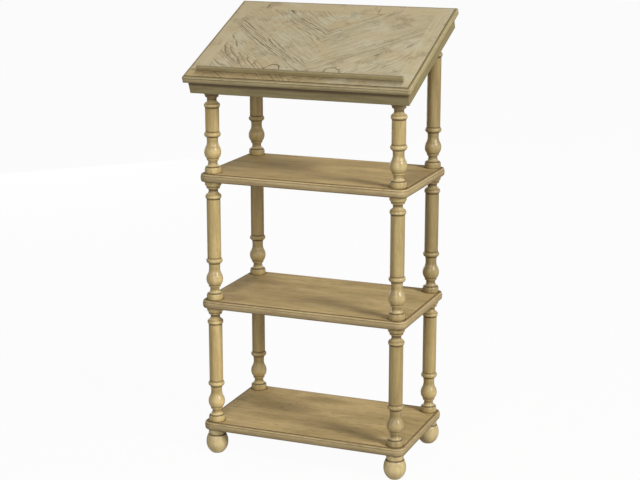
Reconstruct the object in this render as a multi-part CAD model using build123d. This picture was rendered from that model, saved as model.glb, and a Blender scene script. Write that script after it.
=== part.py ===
"""A free-standing atlas stand: three moulded shelves on turned spindles, bun feet below and a
slanted reading top above. Sizes are in millimetres. +X is to the reader's right, +Y points away
from the reader, +Z is up, and the origin is on the floor under the middle of the whole stand."""
import math
import os

from build123d import *

# ---------------------------------------------------------------- driving dimensions
# Frame of shelves and posts
POST_SPACING_X = 500.0      # between the post axes, left to right
POST_SPACING_Y = 274.0      # between the post axes, front to rear
TIER_CLEAR = 313.3          # open height between two shelves
SHELF_THICK = 21.0
SHELF_OVERHANG = 30.0       # from a post axis to the shelf's outermost edge
SHELF_CORNER_R = 24.0

# Moulded rim that the shelves and the reading top share
RIM_WIDTH = 8.0             # from the flat top's arris to the outermost edge
RIM_STEP = 1.5              # the rim starts this far below the flat top
RIM_FLAT = 0.8              # level strip at the foot of the step
BEAD_DROP = 3.2             # height of the bead that rolls over the upper edge
BEAD_SETBACK = 1.0          # bead's outer end, in from the outermost edge
QUIRK_DEPTH = 0.9           # groove under the bead, measured inwards
QUIRK_HEIGHT = 0.8
NOSE_DROP = 9.5             # from the flat top down to the widest line of the face
NOSE_RELIEF = 1.2           # how far the face falls back towards its lower arris
LOWER_ARRIS_R = 1.6

# Feet
FOOT_HEIGHT = 67.6          # from the bottom shelf down to the flat under the bun
FOOT_COLLAR_TOP_R = 20.8    # where the collar meets the shelf
FOOT_COLLAR_R = 22.6
FOOT_COLLAR_DROP = 6.0      # from the shelf down to the collar's widest ring
FOOT_COLLAR_H = 16.2
FOOT_COLLAR_END_R = 22.0
FOOT_QUIRK_R = 21.2
FOOT_QUIRK_H = 0.8
FOOT_BUN_TOP_R = 23.6       # bun's upper edge, under the quirk
FOOT_BUN_R = 29.1
FOOT_BUN_DROP = 38.8        # from the shelf down to the widest ring of the bun
FOOT_FLAT_R = 15.0
GLIDE_R = 9.0
GLIDE_THICK = 2.0
GLIDE_PIN_R = 1.5
GLIDE_PIN_LENGTH = 12.0

# Turned spindle, from its seat upwards; radii end in _R, heights in _H
DRUM_R = 21.2
DRUM_H = 15.8
DRUM_EASE = 1.2             # radius of the lower arris
DRUM_SHOULDER_H = 5.6       # rounded upper part of the drum
DRUM_SHOULDER_R = 19.2      # where that rounding ends, at the quirk
DRUM_QUIRK_R = 16.8
DRUM_QUIRK_H = 0.7
FLARE_R = 17.7              # lip of the flare above the quirk
FLARE_LIP_DEPTH = 1.0       # how far the lip rolls inwards
FLARE_LIP_H = 1.2
NECK_R = 11.8
NECK_RISE = 9.3             # from the lip to the narrowest ring
COLLAR_COVE_H = 6.2
COLLAR_COVE_R = 14.6
COLLAR_R = 15.6
COLLAR_H = 4.4
VASE_SEAT_R = 16.0
VASE_BELLY_R = 21.6
VASE_BELLY_RISE = 16.0
VASE_SHOULDER_H = 28.0      # from the belly to the throat
THROAT_R = 14.3
THROAT_H = 14.2             # from the throat to the quirk under the lower bead
TOP_THROAT_H = 10.6         # the same on the spindles under the reading top
THROAT_END_R = 15.5
BEAD_R = 21.3
BEAD_H = 15.2
SHAFT_R = 17.9
SHAFT_QUIRK_DEPTH = 0.7     # small groove where the shaft meets a bead
SHAFT_QUIRK_H = 0.8
UPPER_BEAD_R = 20.8
UPPER_BEAD_H = 13.4
UPPER_FLARE_R = 17.2
UPPER_FLARE_H = 8.0
CAP_NECK_R = 12.2
CAP_COVE_H = 7.0
CAP_COVE_R = 15.4
CAP_COLLAR_R = 17.4
CAP_COLLAR_H = 4.2
CAP_RING_R = 21.5
CAP_RING_SWELL_H = 7.6      # rounded lower edge of the ring
CAP_RING_H = 14.6           # whole height of the ring on the lower spindles

# Slanted reading top
BOARD_THICK = 18.0
BOARD_TILT = 22.7           # degrees
BOARD_SIDE_OVERHANG = 51.0  # from a post axis to the board's outermost edge
BOARD_FRONT_OVERHANG = 55.5  # the same in front, along the slope
BOARD_REAR_OVERHANG = 61.5  # the same at the rear, along the slope
BOARD_CORNER_R = 8.0
APRON_INSET = 11.5          # from the board's outermost edge to the rail's face
APRON_THICK = 16.0
APRON_DEPTH = 34.8
APRON_ARRIS_R = 1.2
FRONT_SEAT_HEIGHT = 224.4   # top shelf to the underside of the top, at the front post axis
FRONT_BEAD_HEIGHT = 174.0   # top shelf to the widest ring of the upper bead, front posts
REAR_BEAD_HEIGHT = 293.5    # the same on the rear posts

# Book ledge
LEDGE_LENGTH = 543.0
LEDGE_DEPTH = 8.0
LEDGE_HEIGHT = 11.5
LEDGE_SETBACK = 35.0        # along the slope, from the board's edge
LEDGE_ROUND = 2.5

# Hidden fixings
STUD_R = 4.0
STUD_CLEARANCE = 0.1        # radial
STUD_GRIP = 24.0            # length of a stud in each spindle or foot
BORE_RELIEF = 1.0           # blind bores run this much past the stud
BEARER_WIDTH = 43.0
BEARER_GRIP = 22.0          # length of a top stud inside its bearer
DOWEL_R = 3.0
DOWEL_IN_BOARD = 10.0
DOWEL_IN_LEDGE = 7.0
DOWEL_COUNT = 3
SCREW_SHANK_R = 2.2
SCREW_HEAD_R = 4.3
SCREW_HEAD_H = 3.2
SCREW_POCKET_DEPTH = 8.0    # how deep the heads sit above the bearer's underside
SCREW_BITE = 12.0           # length of a screw inside the board
SCREW_COUNT = 3             # in each bearer
SCREW_CLEARANCE = 0.1

# ---------------------------------------------------------------- derived places
FLOOR_TO_SHELF = GLIDE_THICK + FOOT_HEIGHT
TIER_PITCH = TIER_CLEAR + SHELF_THICK
SHELF_BASES = {name: FLOOR_TO_SHELF + tier * TIER_PITCH
               for tier, name in enumerate(("bottom", "middle", "top"))}
TOP_SHELF_FACE = SHELF_BASES["top"] + SHELF_THICK
SIDES = {"left": -POST_SPACING_X / 2, "right": POST_SPACING_X / 2}
ROWS = {"front": -POST_SPACING_Y / 2, "rear": POST_SPACING_Y / 2}
TILT = math.radians(BOARD_TILT)
REAR_SEAT_HEIGHT = FRONT_SEAT_HEIGHT + POST_SPACING_Y * math.tan(TILT)
SEAT_HEIGHTS = {"front": FRONT_SEAT_HEIGHT, "rear": REAR_SEAT_HEIGHT}
BEAD_HEIGHTS = {"front": FRONT_BEAD_HEIGHT, "rear": REAR_BEAD_HEIGHT}
SLOPE_NORMAL = (0, -math.sin(TILT), math.cos(TILT))
STUD_BORE_R = STUD_R + STUD_CLEARANCE

# The slanted top is drawn flat on this plane and then laid on the posts: its origin is where the
# front posts' axes meet the underside of the rails, and its y runs up the slope.
SLOPE = Plane(origin=(0, ROWS["front"], TOP_SHELF_FACE + FRONT_SEAT_HEIGHT),
              x_dir=(1, 0, 0), z_dir=SLOPE_NORMAL)
BOARD_FRONT = -BOARD_FRONT_OVERHANG
BOARD_REAR = POST_SPACING_Y / math.cos(TILT) + BOARD_REAR_OVERHANG
BOARD_MIDDLE = (BOARD_FRONT + BOARD_REAR) / 2
BOARD_DEPTH = BOARD_REAR - BOARD_FRONT
BOARD_WIDTH = POST_SPACING_X + 2 * BOARD_SIDE_OVERHANG
BOARD_UNDERSIDE = APRON_DEPTH
BOARD_FACE = APRON_DEPTH + BOARD_THICK


# ---------------------------------------------------------------- small drawing helpers
class Outline:
    """A chain of edges drawn from point to point, as (radius, height) or (out, up)."""

    def __init__(self, x, y):
        self.edges = []
        self.at = (x, y)

    def line(self, x, y):
        """Draw a straight edge to a point."""
        if math.dist(self.at, (x, y)) > 1e-6:
            self.edges.append(Line(self.at, (x, y)))
            self.at = (x, y)
        return self

    def swell(self, x, y):
        """Draw an arc to a point, upright where it ends."""
        return self._arc(x, y, upright_at_end=True)

    def ease(self, x, y):
        """Draw an arc to a point, upright where it starts."""
        return self._arc(x, y, upright_at_end=False)

    def _arc(self, x, y, upright_at_end):
        x0, y0 = self.at
        run, rise = x - x0, y - y0
        radius = (run ** 2 + rise ** 2) / (2 * abs(run))
        upright_x, upright_y = (x, y) if upright_at_end else (x0, y0)
        toward = -math.copysign(1, run) if upright_at_end else math.copysign(1, run)
        centre_x = upright_x + toward * radius
        half = math.asin(min(1.0, abs(rise) / radius)) / 2
        up = math.copysign(1, (y0 if upright_at_end else y) - upright_y)
        middle = (centre_x - toward * radius * math.cos(half),
                  upright_y + up * radius * math.sin(half))
        self.edges.append(ThreePointArc(self.at, middle, (x, y)))
        self.at = (x, y)
        return self

    def face(self):
        """Close the chain and fill it, in the XZ plane."""
        start = self.edges[0] @ 0
        self.line(start.X, start.Y)
        flat = make_face(Curve() + self.edges)
        return Plane.XZ * flat


def turned(outline):
    """Revolve an outline about the upright axis."""
    return revolve(outline.face(), Axis.Z)


def rod(radius, length):
    """An upright cylinder that stands on z = 0."""
    return Cylinder(radius, length, align=(Align.CENTER, Align.CENTER, Align.MIN))


def slab(width, depth, height):
    """A box centred in plan that stands on z = 0."""
    return Box(width, depth, height, align=(Align.CENTER, Align.CENTER, Align.MIN))


# ---------------------------------------------------------------- shared rim
def rim_outline(thickness):
    """Section of the moulded rim: x runs out from the flat top's arris, y up from the underside."""
    nose = RIM_WIDTH
    bead_top = thickness - RIM_STEP
    bead_end = bead_top - BEAD_DROP
    face_top = bead_end - QUIRK_HEIGHT
    rim = Outline(0, bead_top)
    rim.line(RIM_FLAT, bead_top)
    rim.swell(nose - BEAD_SETBACK, bead_end)
    rim.line(nose - BEAD_SETBACK - QUIRK_DEPTH, bead_end)
    rim.line(nose - BEAD_SETBACK - QUIRK_DEPTH, face_top)
    rim.swell(nose, thickness - NOSE_DROP)
    rim.ease(nose - NOSE_RELIEF, LOWER_ARRIS_R)
    rim.line(nose - NOSE_RELIEF - LOWER_ARRIS_R, 0)
    rim.line(0, 0)
    return rim


# ---------------------------------------------------------------- shelves
def shelf():
    """A shelf board with its moulded rim, standing on z = 0 about the middle of the posts."""
    width = POST_SPACING_X + 2 * SHELF_OVERHANG
    depth = POST_SPACING_Y + 2 * SHELF_OVERHANG
    inner_r = SHELF_CORNER_R - RIM_WIDTH
    field = extrude(RectangleRounded(width - 2 * RIM_WIDTH, depth - 2 * RIM_WIDTH, inner_r),
                    SHELF_THICK)
    section = rim_outline(SHELF_THICK).face()
    board = field
    corner_x, corner_y = width / 2 - SHELF_CORNER_R, depth / 2 - SHELF_CORNER_R
    for turn, run, reach in ((0, depth, width), (90, width, depth),
                             (180, depth, width), (270, width, depth)):
        straight = run - 2 * SHELF_CORNER_R
        edge = extrude(Pos(reach / 2 - RIM_WIDTH, straight / 2, 0) * section, straight)
        board += Rot(0, 0, turn) * edge
    for turn, (x, y) in enumerate(((corner_x, corner_y), (-corner_x, corner_y),
                                   (-corner_x, -corner_y), (corner_x, -corner_y))):
        corner = revolve(Pos(inner_r, 0, 0) * section, Axis.Z, 90)
        board += Pos(x, y, 0) * Rot(0, 0, turn * 90) * corner
    for x in SIDES.values():
        for y in ROWS.values():
            board -= Pos(x, y, 0) * rod(STUD_BORE_R, SHELF_THICK)
    return board


# ---------------------------------------------------------------- turnings
def spindle_outline(throat_height, upper_bead_height, top):
    """Right half of a spindle, from its seat at height 0 up to its top."""
    post = Outline(0, 0)
    post.line(DRUM_R - DRUM_EASE, 0)
    post.swell(DRUM_R, DRUM_EASE)
    post.line(DRUM_R, DRUM_H - DRUM_SHOULDER_H)
    post.ease(DRUM_SHOULDER_R, DRUM_H)
    post.line(DRUM_QUIRK_R, DRUM_H)
    height = DRUM_H + DRUM_QUIRK_H
    post.line(FLARE_R, height)
    height += FLARE_LIP_H
    post.ease(FLARE_R - FLARE_LIP_DEPTH, height)
    height += NECK_RISE
    post.swell(NECK_R, height)
    height += COLLAR_COVE_H
    post.ease(COLLAR_COVE_R, height)
    post.line(COLLAR_R, height)
    height += COLLAR_H
    post.line(COLLAR_R, height)
    post.line(VASE_SEAT_R, height)
    height += VASE_BELLY_RISE
    post.swell(VASE_BELLY_R, height)
    blend_r = (VASE_BELLY_R + THROAT_R) / 2
    post.ease(blend_r, height + VASE_SHOULDER_H / 2)
    height += VASE_SHOULDER_H
    post.swell(THROAT_R, height)
    height += throat_height
    post.ease(THROAT_END_R, height)
    height += BEAD_H / 2
    post.swell(BEAD_R, height)
    height += BEAD_H / 2 - SHAFT_QUIRK_H
    quirk_r = SHAFT_R - SHAFT_QUIRK_DEPTH
    post.ease(quirk_r, height)
    post.line(SHAFT_R, height + SHAFT_QUIRK_H)
    height = upper_bead_height - UPPER_BEAD_H / 2
    post.line(SHAFT_R, height - SHAFT_QUIRK_H)
    post.line(quirk_r, height)
    post.swell(UPPER_BEAD_R, upper_bead_height)
    height = upper_bead_height + UPPER_BEAD_H / 2
    post.ease(UPPER_FLARE_R, height)
    height += UPPER_FLARE_H
    post.swell(CAP_NECK_R, height)
    height += CAP_COVE_H
    post.ease(CAP_COVE_R, height)
    post.line(CAP_COLLAR_R, height)
    height += CAP_COLLAR_H
    post.line(CAP_COLLAR_R, height)
    height += CAP_RING_SWELL_H
    post.swell(CAP_RING_R, height)
    post.line(CAP_RING_R, top)
    post.line(0, top)
    return post


def capital_height():
    """From the widest ring of the upper bead to the top of a lower spindle."""
    return UPPER_BEAD_H / 2 + UPPER_FLARE_H + CAP_COVE_H + CAP_COLLAR_H + CAP_RING_H


def shelf_spindle():
    """A spindle that stands between two shelves, bored for a stud at both ends."""
    post = turned(spindle_outline(THROAT_H, TIER_CLEAR - capital_height(), TIER_CLEAR))
    bore = rod(STUD_BORE_R, STUD_GRIP + BORE_RELIEF)
    return post - bore - Pos(0, 0, TIER_CLEAR - STUD_GRIP - BORE_RELIEF) * bore


def top_spindle(row):
    """A spindle under the reading top, its capital sawn to the slope."""
    seat = SEAT_HEIGHTS[row]
    stock = turned(spindle_outline(TOP_THROAT_H, BEAD_HEIGHTS[row], seat + CAP_RING_R))
    post = split(stock, Plane(origin=(0, 0, seat), z_dir=SLOPE_NORMAL), keep=Keep.BOTTOM)
    grip = STUD_GRIP + BORE_RELIEF
    post -= rod(STUD_BORE_R, grip)
    return post - Pos(0, 0, seat - grip) * rod(STUD_BORE_R, grip + CAP_RING_R)


def bun_foot():
    """A turned bun foot that hangs from z = 0, bored for its stud and its glide."""
    foot = Outline(0, 0)
    foot.line(FOOT_COLLAR_TOP_R, 0)
    foot.swell(FOOT_COLLAR_R, -FOOT_COLLAR_DROP)
    foot.ease(FOOT_COLLAR_END_R, -FOOT_COLLAR_H)
    foot.line(FOOT_QUIRK_R, -FOOT_COLLAR_H)
    foot.line(FOOT_BUN_TOP_R, -FOOT_COLLAR_H - FOOT_QUIRK_H)
    foot.swell(FOOT_BUN_R, -FOOT_BUN_DROP)
    foot.ease(FOOT_FLAT_R, -FOOT_HEIGHT)
    foot.line(0, -FOOT_HEIGHT)
    bun = turned(foot)
    bun -= Pos(0, 0, -STUD_GRIP - BORE_RELIEF) * rod(STUD_BORE_R, STUD_GRIP + BORE_RELIEF)
    return bun - Pos(0, 0, -FOOT_HEIGHT) * rod(GLIDE_PIN_R, GLIDE_PIN_LENGTH)


def glide():
    """A nail-on glide: a disc on the floor and the pin that holds it in the foot."""
    return rod(GLIDE_R, GLIDE_THICK) + Pos(0, 0, GLIDE_THICK) * rod(GLIDE_PIN_R, GLIDE_PIN_LENGTH)


# ---------------------------------------------------------------- slanted top, drawn flat
def board_outline_prism():
    """The board's outermost outline, with its rounded corners, through the whole thickness."""
    plan = RectangleRounded(BOARD_WIDTH, BOARD_DEPTH, BOARD_CORNER_R)
    return Pos(0, BOARD_MIDDLE, BOARD_UNDERSIDE) * extrude(plan, BOARD_THICK)


def mitred(bar, length, depth):
    """Trim a bar that runs along y, its outer side at x = 0, to a mitre at both ends."""
    plan = Polyline((0, -length / 2), (0, length / 2),
                    (-depth, length / 2 - depth), (-depth, -length / 2 + depth), close=True)
    keep = extrude(make_face(plan), APRON_DEPTH + BOARD_THICK, both=True)
    return bar & keep


EDGE_TURNS = {"right": 0, "rear": 90, "left": 180, "front": 270}


def edge_length(side):
    """Length of one edge of the board: its depth on the left and right, else its width."""
    return BOARD_DEPTH if side in SIDES else BOARD_WIDTH


def around(side, bar_at_edge, inset=0.0):
    """Turn a bar drawn for the right-hand edge to its own side of the board."""
    across = BOARD_WIDTH if side in SIDES else BOARD_DEPTH
    placed = Pos(across / 2 - inset, 0, 0) * bar_at_edge
    return Pos(0, BOARD_MIDDLE, 0) * Rot(0, 0, EDGE_TURNS[side]) * placed


def board_moulding(side):
    """One mitred length of the moulded rim round the reading board."""
    length = edge_length(side)
    section = Pos(-RIM_WIDTH, length / 2, BOARD_UNDERSIDE) * rim_outline(BOARD_THICK).face()
    bar = mitred(extrude(section, length), length, RIM_WIDTH)
    return around(side, bar) & board_outline_prism()


def apron_rail(side):
    """One mitred rail of the shallow frame under the board, its lower outer arris rounded."""
    length = edge_length(side) - 2 * APRON_INSET
    section = Outline(-APRON_THICK, 0)
    section.line(-APRON_ARRIS_R, 0)
    section.swell(0, APRON_ARRIS_R)
    section.line(0, APRON_DEPTH)
    section.line(-APRON_THICK, APRON_DEPTH)
    bar = extrude(Pos(0, length / 2, 0) * section.face(), length)
    return around(side, mitred(bar, length, APRON_THICK), APRON_INSET)


def bearer_span():
    """Where the bearers start and end along the slope: between the front and rear rails."""
    wall = APRON_INSET + APRON_THICK
    return BOARD_FRONT + wall, BOARD_REAR - wall


def screw_places():
    """Centres of the screws in one bearer, along the slope."""
    start, end = bearer_span()
    step = (end - start) / SCREW_COUNT
    return [start + step * (i + 0.5) for i in range(SCREW_COUNT)]


def bearer_centre(side):
    """Distance of a bearer's centre line from the middle of the board."""
    reach = BOARD_WIDTH / 2 - APRON_INSET - APRON_THICK - BEARER_WIDTH / 2
    return math.copysign(reach, SIDES[side])


def top_stud_bore(x, row):
    """The bore for a top stud in its bearer, drawn upright in the stand's own frame."""
    base = TOP_SHELF_FACE + SEAT_HEIGHTS[row] - CAP_RING_R
    length = CAP_RING_R + BEARER_GRIP + BORE_RELIEF
    return Pos(x, ROWS[row], base) * rod(STUD_BORE_R, length)


def bearer(side):
    """A batten inside a side rail that the post tops are fixed to, in the stand's own frame."""
    start, end = bearer_span()
    batten = Pos(bearer_centre(side), (start + end) / 2, 0) * slab(BEARER_WIDTH, end - start,
                                                                   APRON_DEPTH)
    for y in screw_places():
        at = Pos(bearer_centre(side), y, 0)
        batten -= at * rod(SCREW_HEAD_R + SCREW_CLEARANCE, SCREW_POCKET_DEPTH)
        batten -= at * rod(SCREW_SHANK_R + SCREW_CLEARANCE, APRON_DEPTH)
    batten = SLOPE.location * batten
    for row in ROWS:
        batten -= top_stud_bore(SIDES[side], row)
    return batten


def board_screw():
    """A pan-head screw that points up, with its head's underside at z = 0."""
    shank = APRON_DEPTH - SCREW_POCKET_DEPTH + SCREW_BITE
    return Pos(0, 0, -SCREW_HEAD_H) * rod(SCREW_HEAD_R, SCREW_HEAD_H) + rod(SCREW_SHANK_R, shank)


def reading_board():
    """The veneered board, drilled for its screws from below and for the ledge's dowels above."""
    board = Pos(0, BOARD_MIDDLE, BOARD_UNDERSIDE) * slab(BOARD_WIDTH - 2 * RIM_WIDTH,
                                                         BOARD_DEPTH - 2 * RIM_WIDTH, BOARD_THICK)
    for side in SIDES:
        for y in screw_places():
            hole = rod(SCREW_SHANK_R + SCREW_CLEARANCE, SCREW_BITE + BORE_RELIEF)
            board -= Pos(bearer_centre(side), y, BOARD_UNDERSIDE) * hole
    for x in dowel_places():
        hole = rod(DOWEL_R, DOWEL_IN_BOARD)
        board -= Pos(x, ledge_line(), BOARD_FACE - DOWEL_IN_BOARD) * hole
    return board


def dowel_places():
    """Centres of the ledge's dowels, left to right."""
    step = LEDGE_LENGTH / DOWEL_COUNT
    return [step * (i - (DOWEL_COUNT - 1) / 2) for i in range(DOWEL_COUNT)]


def ledge_line():
    """The ledge's centre line along the slope."""
    return BOARD_FRONT + LEDGE_SETBACK + LEDGE_DEPTH / 2


def book_ledge():
    """The strip that stops a book from sliding off, its upper arrises rounded."""
    half = LEDGE_DEPTH / 2
    section = Outline(-half, 0)
    section.line(half, 0)
    section.line(half, LEDGE_HEIGHT - LEDGE_ROUND)
    section.ease(half - LEDGE_ROUND, LEDGE_HEIGHT)
    section.line(LEDGE_ROUND - half, LEDGE_HEIGHT)
    section.swell(-half, LEDGE_HEIGHT - LEDGE_ROUND)
    strip = extrude(Rot(0, 0, 90) * section.face(), LEDGE_LENGTH / 2, both=True)
    for x in dowel_places():
        strip -= Pos(x, 0, 0) * rod(DOWEL_R, DOWEL_IN_LEDGE)
    return Pos(0, ledge_line(), BOARD_FACE) * strip


# ---------------------------------------------------------------- assembly
def at_posts(piece, height):
    """Four copies of a piece, one on each post axis."""
    return [Pos(x, y, height) * piece for y in ROWS.values() for x in SIDES.values()]


def frame_pieces():
    """Feet, shelves, spindles and their studs."""
    pieces = {}
    foot, spindle, board = bun_foot(), shelf_spindle(), shelf()
    for row, y in ROWS.items():
        upper = top_spindle(row)
        for side, x in SIDES.items():
            corner = f"{row}_{side}"
            pieces[f"foot_{corner}"] = Pos(x, y, SHELF_BASES["bottom"]) * foot
            for tier, base in (("lower", "bottom"), ("middle", "middle")):
                face = SHELF_BASES[base] + SHELF_THICK
                pieces[f"{tier}_spindle_{corner}"] = Pos(x, y, face) * spindle
            pieces[f"upper_spindle_{corner}"] = Pos(x, y, TOP_SHELF_FACE) * upper
    for name, base in SHELF_BASES.items():
        pieces[f"{name}_shelf"] = Pos(0, 0, base) * board
        stud = rod(STUD_R, SHELF_THICK + 2 * STUD_GRIP)
        pieces[f"{name}_shelf_studs"] = Compound(at_posts(stud, base - STUD_GRIP))
    pieces["foot_glides"] = Compound(at_posts(glide(), 0))
    return pieces


def top_pieces():
    """The slanted reading top with its frame, ledge and fixings."""
    flat = {"reading_board": reading_board(), "book_ledge": book_ledge()}
    for side in EDGE_TURNS:
        flat[f"board_moulding_{side}"] = board_moulding(side)
        flat[f"apron_{side}"] = apron_rail(side)
    dowel = rod(DOWEL_R, DOWEL_IN_BOARD + DOWEL_IN_LEDGE)
    flat["ledge_dowels"] = Compound([Pos(x, ledge_line(), BOARD_FACE - DOWEL_IN_BOARD) * dowel
                                     for x in dowel_places()])
    flat["board_screws"] = Compound([Pos(bearer_centre(side), y, SCREW_POCKET_DEPTH) * board_screw()
                                     for side in SIDES for y in screw_places()])
    pieces = {name: SLOPE.location * piece for name, piece in flat.items()}
    for side in SIDES:
        pieces[f"bearer_{side}"] = bearer(side)
    stud = rod(STUD_R, STUD_GRIP + BEARER_GRIP)
    pieces["top_studs"] = Compound([
        Pos(x, ROWS[row], TOP_SHELF_FACE + seat - STUD_GRIP) * stud
        for row, seat in SEAT_HEIGHTS.items() for x in SIDES.values()])
    return pieces


def stand():
    """Every piece by name, with the origin on the floor under the middle of the stand."""
    pieces = frame_pieces() | top_pieces()
    middle = Compound(list(pieces.values())).bounding_box().center()
    return {name: Pos(-middle.X, -middle.Y, 0) * piece for name, piece in pieces.items()}


os.makedirs("parts", exist_ok=True)
for node, piece in stand().items():
    export_step(piece, f"parts/{node}.step")
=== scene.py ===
"""Finishes, studio and camera for the atlas stand.

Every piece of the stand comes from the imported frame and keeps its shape. This script gives each
piece its wood: turned posts with dark glaze in their grooves, streaked shelves with a moulded rim,
and a reading top veneered in two mirrored halves.
"""

import logging
import math
from dataclasses import dataclass, field, replace
from enum import Enum
from typing import Sequence, Union

import bpy
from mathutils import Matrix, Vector


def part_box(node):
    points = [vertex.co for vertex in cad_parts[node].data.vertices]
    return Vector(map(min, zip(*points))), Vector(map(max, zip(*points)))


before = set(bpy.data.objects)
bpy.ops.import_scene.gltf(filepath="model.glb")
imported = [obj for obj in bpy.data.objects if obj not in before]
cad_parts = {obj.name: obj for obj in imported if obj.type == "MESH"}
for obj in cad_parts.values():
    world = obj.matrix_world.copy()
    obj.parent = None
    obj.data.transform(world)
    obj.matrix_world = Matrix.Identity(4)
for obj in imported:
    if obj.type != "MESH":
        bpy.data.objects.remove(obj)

LOG = logging.getLogger("atlas_stand")
MM = 0.001
CORNERS = tuple(f"{row}_{side}" for row in ("front", "rear") for side in ("left", "right"))
EDGES = ("front", "rear", "left", "right")

Colour = tuple[float, float, float, float]
WHITE: Colour = (1.0, 1.0, 1.0, 1.0)
Feed = Union["Wire", float, Sequence[float]]
# The low and high end of a smooth step and, where they aren't 0 and 1, its levels there.
Span = tuple[float, ...]


# ---------------------------------------------------------------- nodes in short
def srgb(*channels: int) -> Colour:
    """A colour as it is seen on a screen, in the linear values that shaders use.

    Args:
        channels: red, green and blue, 0 to 255.

    Returns:
        The linear colour, opaque.
    """
    shares = (channel / 255 for channel in channels)
    return (*(share / 12.92 if share <= 0.04045 else ((share + 0.055) / 1.055) ** 2.4
              for share in shares), 1.0)


class Wire:
    """A node's output. Signs between wires and numbers add the Math nodes for them."""

    def __init__(self, net: "Net", socket: bpy.types.NodeSocket) -> None:
        """Hold an output and the net that it is in."""
        self.net = net
        self.socket = socket

    def __add__(self, other: Feed) -> "Wire":
        """The sum."""
        return self.net.math("ADD", self, other)

    def __sub__(self, other: Feed) -> "Wire":
        """The difference."""
        return self.net.math("SUBTRACT", self, other)

    def __rsub__(self, other: Feed) -> "Wire":
        """The difference, with a number first."""
        return self.net.math("SUBTRACT", other, self)

    def __mul__(self, other: Feed) -> "Wire":
        """The product."""
        return self.net.math("MULTIPLY", self, other)

    def __truediv__(self, other: Feed) -> "Wire":
        """The ratio."""
        return self.net.math("DIVIDE", self, other)

    def __lt__(self, other: Feed) -> "Wire":
        """1 where this is less, else 0."""
        return self.net.math("LESS_THAN", self, other)

    def __gt__(self, other: Feed) -> "Wire":
        """1 where this is more, else 0."""
        return self.net.math("GREATER_THAN", self, other)

    def __abs__(self) -> "Wire":
        """The number without its sign."""
        return self.net.math("ABSOLUTE", self)

    def far(self, other: "Wire") -> "Wire":
        """How far off a point is whose two parts are this and the other."""
        squares = [self.net.math("POWER", part, 2.0) for part in (self, other)]
        return self.net.math("SQRT", squares[0] + squares[1])

    def most(self, *others: Feed) -> "Wire":
        """The highest at each point.

        Args:
            others: what this is compared with.

        Returns:
            The highest of this and the others.
        """
        found = self
        for other in others:
            found = self.net.math("MAXIMUM", found, other)
        return found

    def step(self, low: float, high: float, start: float = 0.0, end: float = 1.0) -> "Wire":
        """Go smoothly from start to end while this goes from low to high."""
        return self.net.add("ShaderNodeMapRange", {0: self, 1: low, 2: high, 3: start, 4: end},
                            interpolation_type="SMOOTHSTEP")

    def hump(self, centre: float, half: float) -> "Wire":
        """1 where this is at a centre, smoothly down to 0 at half a width away."""
        return abs(self - centre).step(0.0, half, 1.0, 0.0)

    def scaled(self, *factors: float) -> "Wire":
        """This vector with its x, y and z each times a factor."""
        return self.net.vector("MULTIPLY", self, factors)


class Mixed(Enum):
    """What a Mix node mixes: its data type, its first input of that type and its output."""

    NUMBER = ("FLOAT", 2, 0)
    VECTOR = ("VECTOR", 4, 1)
    COLOUR = ("RGBA", 6, 2)


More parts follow.
